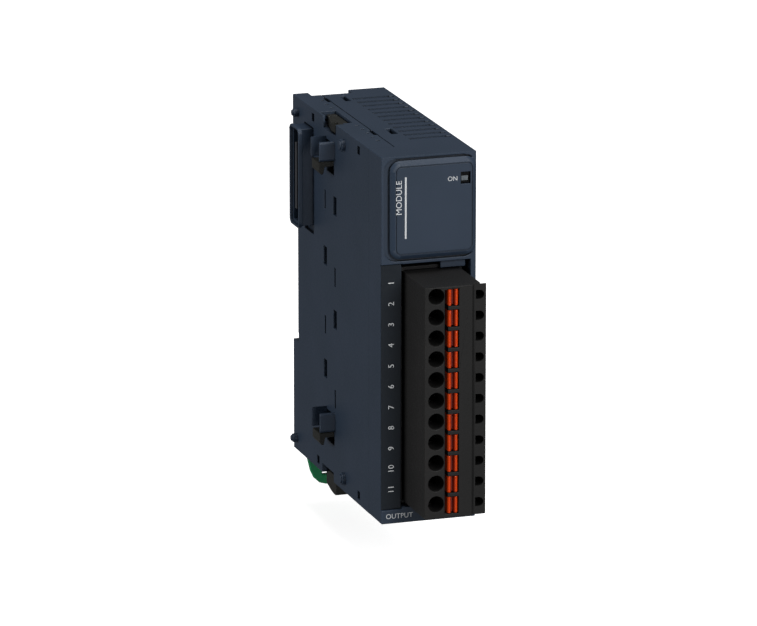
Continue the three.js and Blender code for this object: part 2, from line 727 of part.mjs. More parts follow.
// Plug body: block in front, insert behind, and a wing with the test holes along the right.
const wingFront = -plugProud + 0.7;
const wingRear = -7;
const wingSlope = 2.2;
const wingRight = plugRight + 1.17;
const blockRight = plugRight - 1.5;
const blockChamfer = 1;
const testHole = 2.2;
const testDrop = 0.45;
const testWall = 0.5; // right of the test holes
const slotWidth = 0.7; // black slot along the buttons' left side
const slotDepth = 2.5;
function testHoleAt(z) {
  const half = testHole / 2;
  const shape = new THREE.Shape();
  const middle = wingRight - testWall - half;
  shape.moveTo(blockRight + 0.1, z - half);
  shape.lineTo(middle, z - half);
  shape.absarc(middle, z, half, -Math.PI / 2, Math.PI / 2, false);
  shape.lineTo(blockRight + 0.1, z + half);
  return prism("y", shape, -plugProud - 1, wingRear - 1.5);
}
function plugPole(z) {
  const wireTunnel = rod("y", holeX, z, wireHole / 2, -plugProud - 1, cavityFront + 1, 28);
  const half = buttonWidth / 2 + pushFit;
  const rise = headHalf + pushFit;
  const head = block(buttonX - half, buttonX + half, -plugProud - 1, headRear + buttonTravel + pushFit,
    z - buttonDrop - rise, z - buttonDrop + rise);
  const stem = block(buttonX - half, buttonX + half, -plugProud - 1, cavityFront + 0.1,
    z - stemHalf - pushFit, z + stemHalf + pushFit);
  const [below, above] = [z - chamberHalf, z + chamberHalf];
  const chamber = block(plugLeft + 1.4, pinX + 1.8, cavityFront, cavityRear, below, above);
  const contactRoom = block(pinX - 1.8, pinX + 1.8, cavityRear - 1, contactRear, below, above);
  const bore = pinSize / 2 + pinFit + 0.05;
  const pinBore = block(pinX - bore, pinX + bore, contactRear - 1, farAway, z - bore, z + bore);
  return join(wireTunnel, head, stem, chamber, contactRoom, pinBore, testHoleAt(z - testDrop));
}
function terminalPlug() {
  const outline = [[plugLeft, -plugProud], [blockRight - blockChamfer, -plugProud],
    [blockRight, -plugProud + blockChamfer], [blockRight, wingFront + 1], [plugRight, wingFront + 1],
    [plugRight, headerFront - 0.2], [plugLeft, headerFront - 0.2]];
  const front = prism("z", outline, plugBase, plugTop);
  const wing = prism("x", [[wingFront, plugBase], [wingFront, plugTop], [wingRear, plugTop - wingSlope],
    [wingRear, plugBase + wingSlope]].reverse(), blockRight - 0.5, wingRight);
  const insert = block(insertLeft, insertRight, headerFront - 1, insertRear, insertBase, insertTop);
  const slotRight = buttonX - buttonWidth / 2;
  const groove = block(slotRight - slotWidth, slotRight, -plugProud - 1, -plugProud + slotDepth,
    lowestPole - buttonDrop - headHalf, poleHeight(1) - buttonDrop + headHalf);
  return cut(join(front, wing, insert), groove, ...poleNumbers.map((n) => plugPole(poleHeight(n))));
}
place("terminal_plug", terminalPlug(), plugPlastic());

// Release button: a head with two round ribs and a channel between them, and a stem whose
// ears hold it in from inside the chamber.
const ribHalf = 0.5;
const ribRise = 0.7;
const ribSides = 6;
const channelDepth = 1.2;
const channelHalf = 0.25;
const earReach = 0.5;
function ribPoints(middle) {
  const points = [];
  for (let i = 0; i <= ribSides; i += 1) {
    const angle = (Math.PI * i) / ribSides;
    points.push([middle - ribHalf * Math.cos(angle), buttonFront + ribRise * (1 - Math.sin(angle))]);
  }
  return points;
}
function releaseButton(z) {
  const half = buttonWidth / 2;
  const middle = z - buttonDrop;
  const channelFloor = buttonFront + channelDepth;
  const outline = [[buttonX - half, headRear], ...ribPoints(buttonX - half + ribHalf),
    [buttonX - channelHalf, channelFloor], [buttonX + channelHalf, channelFloor],
    ...ribPoints(buttonX + half - ribHalf), [buttonX + half, headRear]];
  const head = prism("z", outline.reverse(), middle - headHalf, middle + headHalf);
  const stem = block(buttonX - half, buttonX + half, headRear - 0.1, buttonRear, z - stemHalf, z + stemHalf);
  const ears = block(buttonX - half - earReach, buttonX + half + earReach, cavityFront + 0.1, buttonRear,
    z - stemHalf, z + stemHalf);
  return join(head, stem, ears);
}

// Clamp: contact bar with two tines round the pin, and a spring leaf over the wire's path.
function wireClamp(z) {
  const strip = 0.6;
  const [right, left] = [pinX + 1.4, plugLeft + 2.4];
  const inner = pinX - 1.4;
  const bar = cavityRear - 0.6;
  const leaf = [[inner - 3, clampFront], [left, bar - 1.6], [left + strip, bar - 1.2],
    [inner - 2.4, clampFront + strip]];
  const outline = [[right, clampFront], [right, contactRear - 0.3], [right - strip, contactRear - 0.3],
    [right - strip, bar], [inner + strip, bar], [inner + strip, contactRear - 0.3],
    [inner, contactRear - 0.3], [inner, bar], [left + 1.2, bar], [left + 1.2, bar - strip],
    [right - strip, bar - strip], [right - strip, clampFront + strip], ...leaf.slice().reverse()];
  return prism("z", outline, z - chamberHalf + 0.25, z + chamberHalf - 0.25);
}

for (const number of poleNumbers) {
  const z = poleHeight(number);
  place(`header_pin_${number}`, headerPin(z), tinnedBrass());
  place(`release_button_${number}`, releaseButton(z), buttonPlastic());
  place(`wire_clamp_${number}`, wireClamp(z), springSteel());
}

// ---- lock slide ----------------------------------------------------------------------------

// One long strip behind the cover's wall: thumb tab above, a claw at each hook, blade below.
const tabDrop = 0.5; // top of the case to the tab's top
const tabThickness = 2;
const gripWidth = 0.5;
const gripMarginRear = 1.9;
const knobRadius = 0.7;
const knobBore = 0.35;
const knobRise = 0.4;
const clawTaper = 0.8;
const bladeDrop = 3.9; // how far the blade hangs below the base
function lockSlide() {
  const top = caseHeight - tabDrop;
  const strip = join(
    block(slideLeft, slideRight, slideFront, slideRear, wall + slideFit, top - 1),
    block(slideLeft, slideRight, bladeFront, slideRear, 0, wall + 1));
  const plate = prism("z", [[0.4, tabFront], [slideRight, tabFront], [slideRight, tabRear], [1.9, tabRear],
    [0.2, tabFront + 2.5]], top - tabThickness, top);
  const gripRear = tabRear - gripMarginRear;
  const grip = block(-1, slideRight + 1, gripRear - gripWidth, gripRear, top - gripWidth, top + 1);
  const knobAt = [knobRadius + 0.25, tabFront + 1.6];
  const ring = rod("z", ...knobAt, knobRadius, top - 0.1, top + knobRise, 12);
  const tab = cut(join(plate, ring), grip, rod("z", ...knobAt, knobBore, top - 0.6, top + 1, 8));
  const reach = hookProud - 0.1;
  const [front, rear] = [hookFront + hookRib + clawFit, hookFront + hookLength - hookRib - clawFit];
  const claws = hookBases.map((z) => prism("y", [[slideLeft + 0.1, z - slideFit], [-reach, z - slideFit],
    [-reach, z - clawDrop + clawTaper], [-reach + 0.6, z - clawDrop], [-reach + clawLeg, z - clawDrop],
    [-reach + clawLeg + 0.4, z - clawArm], [slideLeft + 0.1, z - clawArm]].reverse(), front, rear));
  const blade = prism("x", [[bladeFront, bladeTop], [bladeFront, -bladeDrop + 0.4],
    [bladeFront + 0.5, -bladeDrop], [bladeFront + 2, -bladeDrop], [bladeRear - 3.5, -bladeDrop + 0.3],
    [bladeRear - 1.3, -bladeDrop + 0.9], [bladeRear, -bladeDrop + 1.2], [bladeRear, 0.2],
    [slideRear, bladeTop]].reverse(), bladeLeft, slideRight);
  return join(strip, tab, ...claws, blade);
}
place("lock_slide", lockSlide(), slidePlastic());

// ---- rail clip -----------------------------------------------------------------------------

const noseRise = 2.2; // how far the nose reaches up behind the rail's flange
const noseLead = 1;
const loopThickness = 1.6;
const loopTop = -0.6;
const slotHalf = 5; // opening in the loop for a screwdriver's tip
const slotBase = -7.2;
const slotTop = -4.4;
const clipRoot = -2; // the shoulder and neck run down into the loop
function railClip() {
  const [front, rear] = [clipFront, clipRear];
  const rootTop = clipShoulder - slideFit;
  const shoulder = block(clipMiddle - clipHalfWidth, clipMiddle + clipHalfWidth, front,
    clipLipFront - clipFit, clipRoot, rootTop);
  const neck = block(clipMiddle - clipHalfNeck, clipMiddle + clipHalfNeck,
    clipLipFront - clipFit - 0.1, rear, clipRoot, rootTop);
  const noseTop = railBase + noseRise;
  const nose = prism("x", [[flangeBack, clipShoulder - 1], [rear, clipShoulder - 1], [rear, railBase + 0.4],
    [flangeBack + noseLead, noseTop], [flangeBack, noseTop]], clipMiddle - clipHalfNeck,
    clipMiddle + clipHalfNeck);
  const edge = [[clipHalfLoop, loopTop], [clipHalfLoop - 0.1, -3.2], [clipHalfLoop - 0.8, -6.2],
    [clipHalfLoop - 1.7, -8.1], [clipHalfLoop - 3, -9.3], [clipHalfLoop - 4.8, -clipHang]];
  const mirrored = edge.map(([u, v]) => [-u, v]);
  const outline = [...mirrored, ...edge.reverse()].map(([u, v]) => [clipMiddle + u, v]);
  const loop = prism("y", outline, rear - loopThickness, rear);
  const slot = block(clipMiddle - slotHalf, clipMiddle + slotHalf, front - 1, rear + 1, slotBase, slotTop);
  return cut(join(shoulder, neck, nose, loop), slot);
}
place("rail_clip", railClip(), clipPlastic());

// ---- circuit board and what it carries -----------------------------------------------------

const boardRear = innerRear - 0.6;
const boardTop = caseHeight - wall - 1.5;
const boardBase = wall + 1.2;
const boardHeadFront = 6;
function circuitBoard() {
  const lower = block(boardLeft, boardRight, headerRear + 1.5, boardRear, boardBase, boardTop);
  const head = block(boardLeft, boardRight, boardHeadFront, headerRear + 2,
    bayTop + bayPartition + 0.6, boardTop);
  const half = pinSize / 2 + pinFit;
  const holes = poleNumbers.map((number) => block(boardLeft - 1, boardRight + 1, pinLegY - half,
    pinLegY + half, poleHeight(number) - half, poleHeight(number) + half));
  return cut(join(lower, head), ...holes);
}
place("circuit_board", circuitBoard(), boardLaminate());

const onBoard = boardLeft - 0.1; // left face of the board, less the solder gap
const onBack = boardRight + 0.1;
place("status_led", block(onBack, guideRight, ledFront, ledFront + 1.9, guideBase - 0.3, guideTop + 0.3),
  lightGuide());

// Isolation transformer: a core with two windows, and the winding round its middle limb.
const coreFront = 30;
const coreLength = 13;
const coreBase = 22;
const coreHeight = 12;
const coreProud = 8.5; // off the board
const coreLimb = 3;
const coreYoke = 2.5;
const windingRadius = 3.6;
function transformer() {
  const core = block(onBoard - coreProud, onBoard, coreFront, coreFront + coreLength, coreBase,
    coreBase + coreHeight);
  const room = block(onBoard - coreProud - 1, onBoard - 1.8, coreFront + coreLimb,
    coreFront + coreLength - coreLimb, coreBase - 1, coreBase + coreYoke);
  const winding = rod("x", coreFront + coreLength / 2, coreBase + 0.6, windingRadius,
    onBoard - coreProud + 1, onBoard - 2, 12);
  return join(cut(core, room, room.translate([0, 0, coreHeight - coreYoke + 1])), winding);
}
place("isolation_transformer", transformer(), coreFerrite());

// A flat-faced component on the board: how far it stands off, its front and base edges, and its size.
function boxOnBoard(name, proud, front, base, length, height) {
  place(name, block(onBoard - proud, onBoard, front, front + length, base, base + height), chipEpoxy());
}
boxOnBoard("power_converter", 7.2, 47, 12, 12, 14);
boxOnBoard("logic_chip", 1.2, 30, 68, 10, 10);
boxOnBoard("analogue_chip", 1.2, 36, 44, 7, 8);
boxOnBoard("bus_isolator", 2.4, 47, 44, 10, 7);

const canRadius = 3.15;
const canLength = 7.7;
const canStations = [[26, 48], [26, 57]];
canStations.forEach(([y, z], i) => {
  place(`capacitor_${i + 1}`, rod("x", y, z, canRadius, onBoard - canLength, onBoard, 14), canAluminium());
});

export default group;
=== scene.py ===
import math

import bmesh
import bpy
from mathutils import Matrix, Vector


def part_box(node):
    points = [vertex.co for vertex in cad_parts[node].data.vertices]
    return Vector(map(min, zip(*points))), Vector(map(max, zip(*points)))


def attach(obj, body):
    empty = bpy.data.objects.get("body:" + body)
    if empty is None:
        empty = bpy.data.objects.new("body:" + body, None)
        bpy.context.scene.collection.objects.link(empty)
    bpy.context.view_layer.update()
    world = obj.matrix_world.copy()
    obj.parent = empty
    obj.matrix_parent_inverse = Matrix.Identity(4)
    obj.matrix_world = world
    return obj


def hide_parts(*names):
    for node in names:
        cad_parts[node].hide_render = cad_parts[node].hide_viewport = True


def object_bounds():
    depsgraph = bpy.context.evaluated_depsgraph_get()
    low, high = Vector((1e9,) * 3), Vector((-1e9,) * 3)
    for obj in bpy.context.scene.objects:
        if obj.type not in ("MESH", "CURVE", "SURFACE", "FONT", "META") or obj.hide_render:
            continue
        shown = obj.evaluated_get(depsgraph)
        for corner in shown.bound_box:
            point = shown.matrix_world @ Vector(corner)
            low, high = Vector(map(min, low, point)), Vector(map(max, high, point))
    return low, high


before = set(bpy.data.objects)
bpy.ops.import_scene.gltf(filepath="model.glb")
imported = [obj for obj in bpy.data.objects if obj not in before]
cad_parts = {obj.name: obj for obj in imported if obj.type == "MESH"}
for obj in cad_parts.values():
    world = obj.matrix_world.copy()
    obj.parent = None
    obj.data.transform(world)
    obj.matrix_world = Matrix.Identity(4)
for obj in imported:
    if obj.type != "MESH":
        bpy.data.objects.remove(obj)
cad_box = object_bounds()
mm = 0.001

# ---- Camera ----
# A long lens a metre and a half away, a little to the left of the module and above it.
view_target = Vector((-12.53, -66.10, 6.35)) * mm  # on the front, near the case's left edge
view_azimuth, view_height = math.radians(-18.07), math.radians(15.03)
view_back = Vector((math.sin(view_azimuth) * math.cos(view_height),
                    -math.cos(view_azimuth) * math.cos(view_height), math.sin(view_height)))
lens = bpy.data.cameras.new("view")
lens.sensor_width, lens.lens = 36, 306.5
lens.clip_start, lens.clip_end = 0.05, 20
camera = bpy.data.objects.new("view", lens)
view_distance = 1522.5  # mm
camera.location = view_target + view_back * view_distance * mm
camera.rotation_euler = (-view_back).to_track_quat("-Z", "Y").to_euler()
bpy.context.scene.collection.objects.link(camera)
bpy.context.scene.camera = camera


# ---- Circuit board ----
# A glass-epoxy laminate with green solder mask, bolted to posts on the right wall, seen only
# through the slots. Its tracks and pads show as a faint lighter pattern under the mask.
def linear(code):
    """The linear colour of an sRGB hex code."""
    parts = [int(code[i:i + 2], 16) / 255 for i in (0, 2, 4)]
    return (*[c / 12.92 if c < 0.04045 else ((c + 0.055) / 1.055) ** 2.4 for c in parts], 1)


def add_node(tree, kind, values=None, **settings):
    """One shader node, with its settings, and its sockets set to a value or linked to an output."""
    made = tree.nodes.new("ShaderNode" + kind)
    for name, setting in settings.items():
        setattr(made, name, setting)
    for socket, value in (values or {}).items():
        if isinstance(value, bpy.types.NodeSocket):
            tree.links.new(value, made.inputs[socket])
        else:
            made.inputs[socket].default_value = value
    return made


def start_material(name):
    """An empty material of that name: its node tree and its place on the piece, in metres."""
    material = bpy.data.materials.new(name)
    material.use_nodes = True
    material.node_tree.nodes.clear()
    place = add_node(material.node_tree, "TexCoord").outputs["Object"]
    return material, material.node_tree, place


def finish_material(tree, **sockets):
    """Ends a material in one shader with those sockets; underscores stand for spaces."""
    shader = add_node(tree, "BsdfPrincipled",
                      {name.replace("_", " "): value for name, value in sockets.items()})
    add_node(tree, "OutputMaterial", {"Surface": shader.outputs[0]})


def dress(node, material):
    """Puts a material on a CAD node that stays as it is."""
    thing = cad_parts[node]
    thing.data.materials.clear()
    thing.data.materials.append(material)


def solder_mask():
    """Green solder mask: glossy lacquer over tracks about 0.5 mm wide."""
    material, tree, place = start_material("solder_masked_laminate")
    tracks = add_node(tree, "TexBrick", {"Vector": place, "Scale": 1 / (9 * mm), "Mortar Size": 0.03,
                                         "Color1": linear("0d4f2e"), "Color2": linear("0f5a34"),
                                         "Mortar": linear("1d7a4b")})
    haze = add_node(tree, "TexNoise", {"Vector": place, "Scale": 1 / (6 * mm), "Detail": 2})
    gloss = add_node(tree, "MapRange", {"Value": haze.outputs[0], "To Min": 0.22, "To Max": 0.36})
    step = add_node(tree, "Bump", {"Height": tracks.outputs[1], "Distance": 0.02 * mm, "Strength": 0.6})
    finish_material(tree, Base_Color=tracks.outputs[0], Roughness=gloss.outputs[0],
                    Normal=step.outputs[0], IOR=1.5)
    return material


dress("circuit_board", solder_mask())


# ---- Parts on the board ----
# Moulded epoxy chips and a converter, a lacquered ferrite transformer, two drawn aluminium
# capacitor cans and the power lamp, all soldered to the board's left face.
def moulded_plastic(name, shade, light_shade, grain, relief, gloss, matt, level=0.5):
    """Injection-moulded plastic: two near shades in soft clouds, with painted shade from an
    ambient occlusion node that turns its holes, slots and corners almost black, and a skin whose
    grain and relief are in mm. gloss and matt are its least and greatest roughness."""
    material, tree, place = start_material(name)
    cloud_size = 14 * mm
    clouds = add_node(tree, "TexNoise", {"Vector": place, "Scale": 1 / cloud_size, "Detail": 3})
    skin = add_node(tree, "TexNoise", {"Vector": place, "Scale": 1 / (grain * mm), "Detail": 2})
    spread = add_node(tree, "MapRange", {"Value": clouds.outputs[0], "From Min": 0.3, "From Max": 0.7})
    outer = add_node(tree, "Mix", {0: spread.outputs[0], 6: linear(shade), 7: linear(light_shade)},
                     data_type="RGBA")
    # Painted shade: an ambient occlusion node darkens the colour towards near black 060607 in holes, slots
    # and corners shut in within this reach.
    painted_shade_reach = 3 * mm
    painted_shade_occlusion = add_node(tree, "AmbientOcclusion", {"Distance": painted_shade_reach}, samples=8)
    painted_shade_mask = add_node(tree, "MapRange", {"Value": painted_shade_occlusion.outputs["AO"], "From Min": 0.15,
                                         "From Max": 0.6})
    # The clouded colour with the painted shade mixed in.
    body = add_node(tree, "Mix", {0: painted_shade_mask.outputs[0], 6: linear("060607"), 7: outer.outputs[2]},
                    data_type="RGBA")
    fine = add_node(tree, "MapRange", {"Value": skin.outputs[0], "From Min": 0.3, "From Max": 0.7,
                                       "To Min": gloss, "To Max": matt})
    dents = add_node(tree, "Bump", {"Height": skin.outputs[0], "Distance": relief * mm, "Strength": 1.0})
    finish_material(tree, Base_Color=body.outputs[2], Roughness=fine.outputs[0],
                    Normal=dents.outputs[0], IOR=1.5, Specular_IOR_Level=level)
    return material


# Dull black blocks, a shade apart from the glossy board.
chip_epoxy = moulded_plastic("moulded_chip_epoxy", "17171a", "1e1e21", grain=0.3, relief=0.01,
                             gloss=0.45, matt=0.6)
for name in ("power_converter", "logic_chip", "analogue_chip", "bus_isolator"):
    dress(name, chip_epoxy)
# A rough dark brown-grey block, patchy where the lacquer is thin.
dress("isolation_transformer", moulded_plastic("lacquered_ferrite", "29262a", "35302f", grain=0.5,
                                               relief=0.03, gloss=0.35, matt=0.7))


def drawn_aluminium():
    """Bright drawn can: fine lines along the draw, about 0.3 mm apart."""
    material, tree, place = start_material("drawn_aluminium_can")
    stretch = add_node(tree, "Mapping", {"Vector": place, "Scale": (0.05, 1, 1)})
    lines = add_node(tree, "TexNoise", {"Vector": stretch.outputs[0], "Scale": 1 / (0.3 * mm), "Detail": 2})
    tone = add_node(tree, "Mix", {0: lines.outputs[0], 6: linear("a9adb3"), 7: linear("c6cacf")},
                    data_type="RGBA")
    rough = add_node(tree, "MapRange", {"Value": lines.outputs[0], "To Min": 0.22, "To Max": 0.42})
    finish_material(tree, Base_Color=tone.outputs[2], Roughness=rough.outputs[0], Metallic=1.0)
    return material


can_metal = drawn_aluminium()
dress("capacitor_1", can_metal)
dress("capacitor_2", can_metal)


def milky_acrylic():
    """Milky light-guide acrylic: pale, glossy and a little cloudy inside."""
    material, tree, place = start_material("milky_acrylic")
    cloud = add_node(tree, "TexNoise", {"Vector": place, "Scale": 1 / (0.8 * mm), "Detail": 2})
    tone = add_node(tree, "Mix", {0: cloud.outputs[0], 6: linear("4d545a"), 7: linear("8f979c")},
                    data_type="RGBA")
    rough = add_node(tree, "MapRange", {"Value": cloud.outputs[0], "To Min": 0.08, "To Max": 0.2})
    finish_material(tree, Base_Color=tone.outputs[2], Roughness=rough.outputs[0], IOR=1.49)
    return material


acrylic = milky_acrylic()
dress("status_led", acrylic)

# ---- Terminal header and its pins ----
# A black polyester box, open at the front, with eleven tin-plated brass pins pressed through its
# floor and soldered into the board. The box is smooth and almost black, the darkest thing behind
# the plug.
header_plastic = moulded_plastic("black_polyester", "0b0b0d", "101012", grain=0.4, relief=0.01,
                                 gloss=0.45, matt=0.6, level=0.3)


def has_room(line, need):
    """Says whether both faces beside an edge reach at least that far from its middle."""
    along = line.verts[1].co - line.verts[0].co
    middle = (line.verts[0].co + line.verts[1].co) / 2
    for face in line.link_faces:
        across = face.normal.cross(along).normalized() * need
        if not any(bmesh.geometry.intersect_face_point(face, middle + step) for step in (across, -across)):
            return False
    return True


def corner_normal(corner):
    """The normal that shades one corner of a face. Smooth faces are the rounded edges: where one
    meets another face it takes that face's normal, so the flats beside it look flat."""
    face = corner.face
    crease = math.radians(50)

    def flows_on(other):
        return other.normal.angle(face.normal, math.pi) < crease

    sides = (corner.edge, corner.link_loop_prev.edge)
    flats = [other for line in sides for other in line.link_faces
             if other != face and not other.smooth and flows_on(other)]
    if face.smooth and flats:
        return max(flats, key=lambda other: other.calc_area()).normal.copy()
    if face.smooth:
        near = [other for other in corner.vert.link_faces if other.smooth and flows_on(other)]
    else:
        near = [face] + flats
    return sum((other.normal * other.calc_area() for other in near), Vector()).normalized()


def softened(node, name, body, slot, material, edge, corner=0, sharp_planes=()):
    """A moulding that stands for a CAD node: its flat faces joined, its edges rounded by edge where
    there is room, and by corner along the outside of its box. Edges that lie in one of
    sharp_planes, an axis and a height in mm, stay sharp, because another part meets them there."""
    low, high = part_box(node)
    merge, reach = 0.002 * mm, 0.02 * mm  # how close two points, and a line and its plane, count as one
    coplanar, least_angle = math.radians(0.5), math.radians(35)
    shape = bmesh.new()
    shape.from_mesh(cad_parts[node].data)
    bmesh.ops.remove_doubles(shape, verts=shape.verts, dist=merge)
    bmesh.ops.dissolve_limit(shape, angle_limit=coplanar, verts=shape.verts, edges=shape.edges)
    for face in shape.faces:
        face.smooth = False

    def lies_in(line, axis, height):
        return all(abs(end.co[axis] - height) < reach for end in line.verts)

    def is_outer(line):
        return sum(lies_in(line, axis, side[axis]) for axis in range(3) for side in (low, high)) > 1

    def is_sharp(line):
        return (len(line.link_faces) == 2 and line.is_convex and line.calc_face_angle() > least_angle
                and not any(lies_in(line, axis, height * mm) for axis, height in sharp_planes))

    def round_off(lines, radius, segments):
        roomy = [line for line in lines if has_room(line, 2 * radius)]
        rounded = bmesh.ops.bevel(shape, geom=roomy, offset=radius, offset_type="OFFSET",
                                  affect="EDGES", segments=segments, profile=0.5, material=-1,
                                  loop_slide=True)
        for face in rounded["faces"]:
            face.smooth = True

    if corner:
        round_off([line for line in shape.edges if is_sharp(line) and is_outer(line)], corner * mm, 4)
    round_off([line for line in shape.edges if is_sharp(line)], edge * mm, 2)
    bmesh.ops.recalc_face_normals(shape, faces=shape.faces)
    shape.normal_update()
    normals = [corner_normal(corner) for face in shape.faces for corner in face.loops]
    made = piece(shape, name, body, slot, material, node)
    made.data.shade_smooth()
    made.data.normals_split_custom_set(normals)


def piece(shape, name, body, slot, material, *nodes):
    """Ends a bmesh as a named piece that rides on a body and stands for those CAD nodes."""
    mesh = bpy.data.meshes.new(name)
    shape.to_mesh(mesh)
    shape.free()
    made = bpy.data.objects.new(name, mesh)
    bpy.context.scene.collection.objects.link(made)
    mesh.materials.append(material)
    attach(made, body)
    if nodes:
        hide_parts(*nodes)
    return made


softened("terminal_header", "header_box", "case", "header_plastic", header_plastic, edge=0.15)


def tin_plate():
    """Tin over brass: a soft grey metal with a slight mottle, 0.5 mm across."""
    material, tree, place = start_material("tin_plated_brass")
    mottle = add_node(tree, "TexNoise", {"Vector": place, "Scale": 1 / (0.5 * mm), "Detail": 2})
    tone = add_node(tree, "Mix", {0: mottle.outputs[0], 6: linear("a9a69a"), 7: linear("cfccc2")},
                    data_type="RGBA")
    rough = add_node(tree, "MapRange", {"Value": mottle.outputs[0], "To Min": 0.2, "To Max": 0.4})
    finish_material(tree, Base_Color=tone.outputs[2], Roughness=rough.outputs[0], Metallic=1.0)
    return material


tin = tin_plate()
poles = range(1, 12)
for pole in poles:
    dress(f"header_pin_{pole}", tin)

# ---- Main housing ----
# The right-hand shell with the front frame, moulded in a dark blue-grey polycarbonate blend.
# Its cavity was spark-eroded, so the skin has a fine even grain. The seam edges stay sharp.
case_plastic = moulded_plastic("spark_textured_polycarbonate", "29384a", "2e3c4f", grain=0.4,
                               relief=0.006, gloss=0.42, matt=0.52, level=0.45)
# The seam's planes: it runs along the top and base at these x, and up the left side at these y.
seam = ((0, -5.6), (0, -5.35), (1, -56.5), (1, -56.45))
softened("main_housing", "housing_shell", "case", "case_plastic", case_plastic, edge=0.2, corner=0.28,
         sharp_planes=seam)

# ---- Side cover ----
# The left-hand cover, in the same plastic, snapped to the housing along the seam in the top.
# It carries the hooks and pegs that join the module to its neighbour.
thumb_window_base = 41.1  # mm
softened("side_cover", "cover_shell", "case", "case_plastic", case_plastic, edge=0.15, corner=0.28,
         sharp_planes=(*seam, (2, thumb_window_base)))

# ---- Front panel ----
# A separate pillow-edged plate, snapped into the front, with a black lamp holder in one corner.
# The holder is smoother than the panel, so it reads as a deep black square round the lamp.
softened("front_panel", "panel_plate", "case", "case_plastic", case_plastic, edge=0.1)
smoked = moulded_plastic("smooth_black_polycarbonate", "07080b", "0b0c10", grain=1.0, relief=0.002,
                         gloss=0.25, matt=0.35, level=0.3)
softened("lamp_holder", "lamp_well", "case", "smoked_plastic", smoked, edge=0.1)
dress("light_guide", acrylic)

# ---- Printing ----
# Screen-printed marks in a pale grey ink, a hair proud of the surface they are printed on.
ink_depth = 0.02 * mm


def screen_ink():
    """Pale ink, slightly broken where the screen's mesh, about 0.15 mm, let less through."""
    material, tree, place = start_material("pale_screen_ink")
    mesh = add_node(tree, "TexNoise", {"Vector": place, "Scale": 1 / (0.15 * mm), "Detail": 1})
    tone = add_node(tree, "Mix", {0: mesh.outputs[0], 6: linear("d5d9dd"), 7: linear("f4f6f7")},
                    data_type="RGBA")
    finish_material(tree, Base_Color=tone.outputs[2], Roughness=0.55, IOR=1.5)
    return material


ink = screen_ink()


def printed(shape, words, height, middle, front, upright=True):
    """Adds printed words to a bmesh, height mm tall and centred on middle, an x and z in mm, on a
    face that looks to the front at the y front. They read upwards unless upright is true."""
    size_over_height = 1.38
    curve = bpy.data.curves.new("print", "FONT")
    curve.body, curve.size, curve.extrude = words, height * size_over_height * mm, ink_depth / 2
    curve.align_x, curve.align_y = "CENTER", "CENTER"
    curve.resolution_u = 3
    text = bpy.data.objects.new("print", curve)
    bpy.context.scene.collection.objects.link(text)
    mesh = bpy.data.meshes.new_from_object(text)
    bpy.data.objects.remove(text)
    turn = Matrix.Rotation(0 if upright else math.radians(90), 4, "Z")
    face = Matrix.Rotation(math.radians(90), 4, "X")
    mesh.transform(Matrix.Translation((middle[0] * mm, front * mm - ink_depth / 2, middle[1] * mm))
                   @ face @ turn)
    shape.from_mesh(mesh)
    bpy.data.meshes.remove(mesh)


def printed_bar(shape, left, right, base, top, front):
    """Adds a printed bar to a bmesh, its sides in mm."""
    box = bmesh.ops.create_cube(shape, size=1)["verts"]
    bmesh.ops.scale(shape, verts=box, vec=((right - left) * mm, ink_depth, (top - base) * mm))
    bmesh.ops.translate(shape, verts=box, vec=((left + right) / 2 * mm, front * mm - ink_depth / 2,
                                               (base + top) / 2 * mm))


panel_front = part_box("front_panel")[0].y / mm
panel_print = bmesh.new()
printed_bar(panel_print, left=-6.35, right=-5.93, base=24.2, top=39.1, front=panel_front)
printed(panel_print, "MODULE", height=1.5, middle=(-7.75, 34.2), front=panel_front, upright=False)
printed(panel_print, "ON", height=1.15, middle=(5.5, 37.85), front=panel_front)
piece(panel_print, "panel_print", "case", "label_film", ink)

case_front = -66.1  # mm
lip_print = bmesh.new()
printed(lip_print, "OUTPUT", height=1.25, middle=(-7.3, -44.2), front=case_front)
piece(lip_print, "lip_print", "case", "label_film", ink)

# ---- Label strip ----
# A matt polyester film in the sunk column left of the plug, darker than the case, printed with
# the terminal numbers.
label_film = moulded_plastic("matt_polyester_film", "171e26", "1c242d", grain=0.8, relief=0.003,
                             gloss=0.4, matt=0.5, level=0.3)
dress("label_strip", label_film)
film_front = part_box("label_strip")[0].y / mm
film_middle = -9.1  # mm
numbers = bmesh.new()
for pole in poles:
    clamp_low, clamp_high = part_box(f"wire_clamp_{pole}")
    pole_height = (clamp_low.z + clamp_high.z) / 2 / mm
    printed(numbers, str(pole), height=1.5, middle=(film_middle, pole_height), front=film_front,
            upright=False)
piece(numbers, "terminal_numbers", "case", "label_film", ink)

# ---- Bus connector ----
# A shroud on the left with the contact tongue inside it, a riser to the board, and the socket
# that takes the next module's shroud on the right. The tongue is a lighter, duller grey.
softened("bus_shroud", "bus_shroud_moulding", "case", "case_plastic", case_plastic, edge=0.2)
tongue_plastic = moulded_plastic("grey_polyester", "3a3b40", "44464b", grain=0.4, relief=0.01,
                                 gloss=0.4, matt=0.55)
softened("bus_tongue", "contact_tongue", "case", "header_plastic", tongue_plastic, edge=0.15)
softened("bus_socket", "bus_socket_moulding", "case", "header_plastic", header_plastic, edge=0.15)
dress("bus_riser", header_plastic)

# ---- Lock slide ----
# One olive-black acetal strip behind the cover: thumb tab above, a claw at each hook, and the
# blade below. It is a little glossier and browner than the case, so it stands out in the windows.
slide_plastic = moulded_plastic("olive_black_acetal", "1c1d19", "232420", grain=0.6, relief=0.004,
                                gloss=0.35, matt=0.48, level=0.35)
softened("lock_slide", "slide_strip", "lock_slide", "slide_plastic", slide_plastic, edge=0.1)

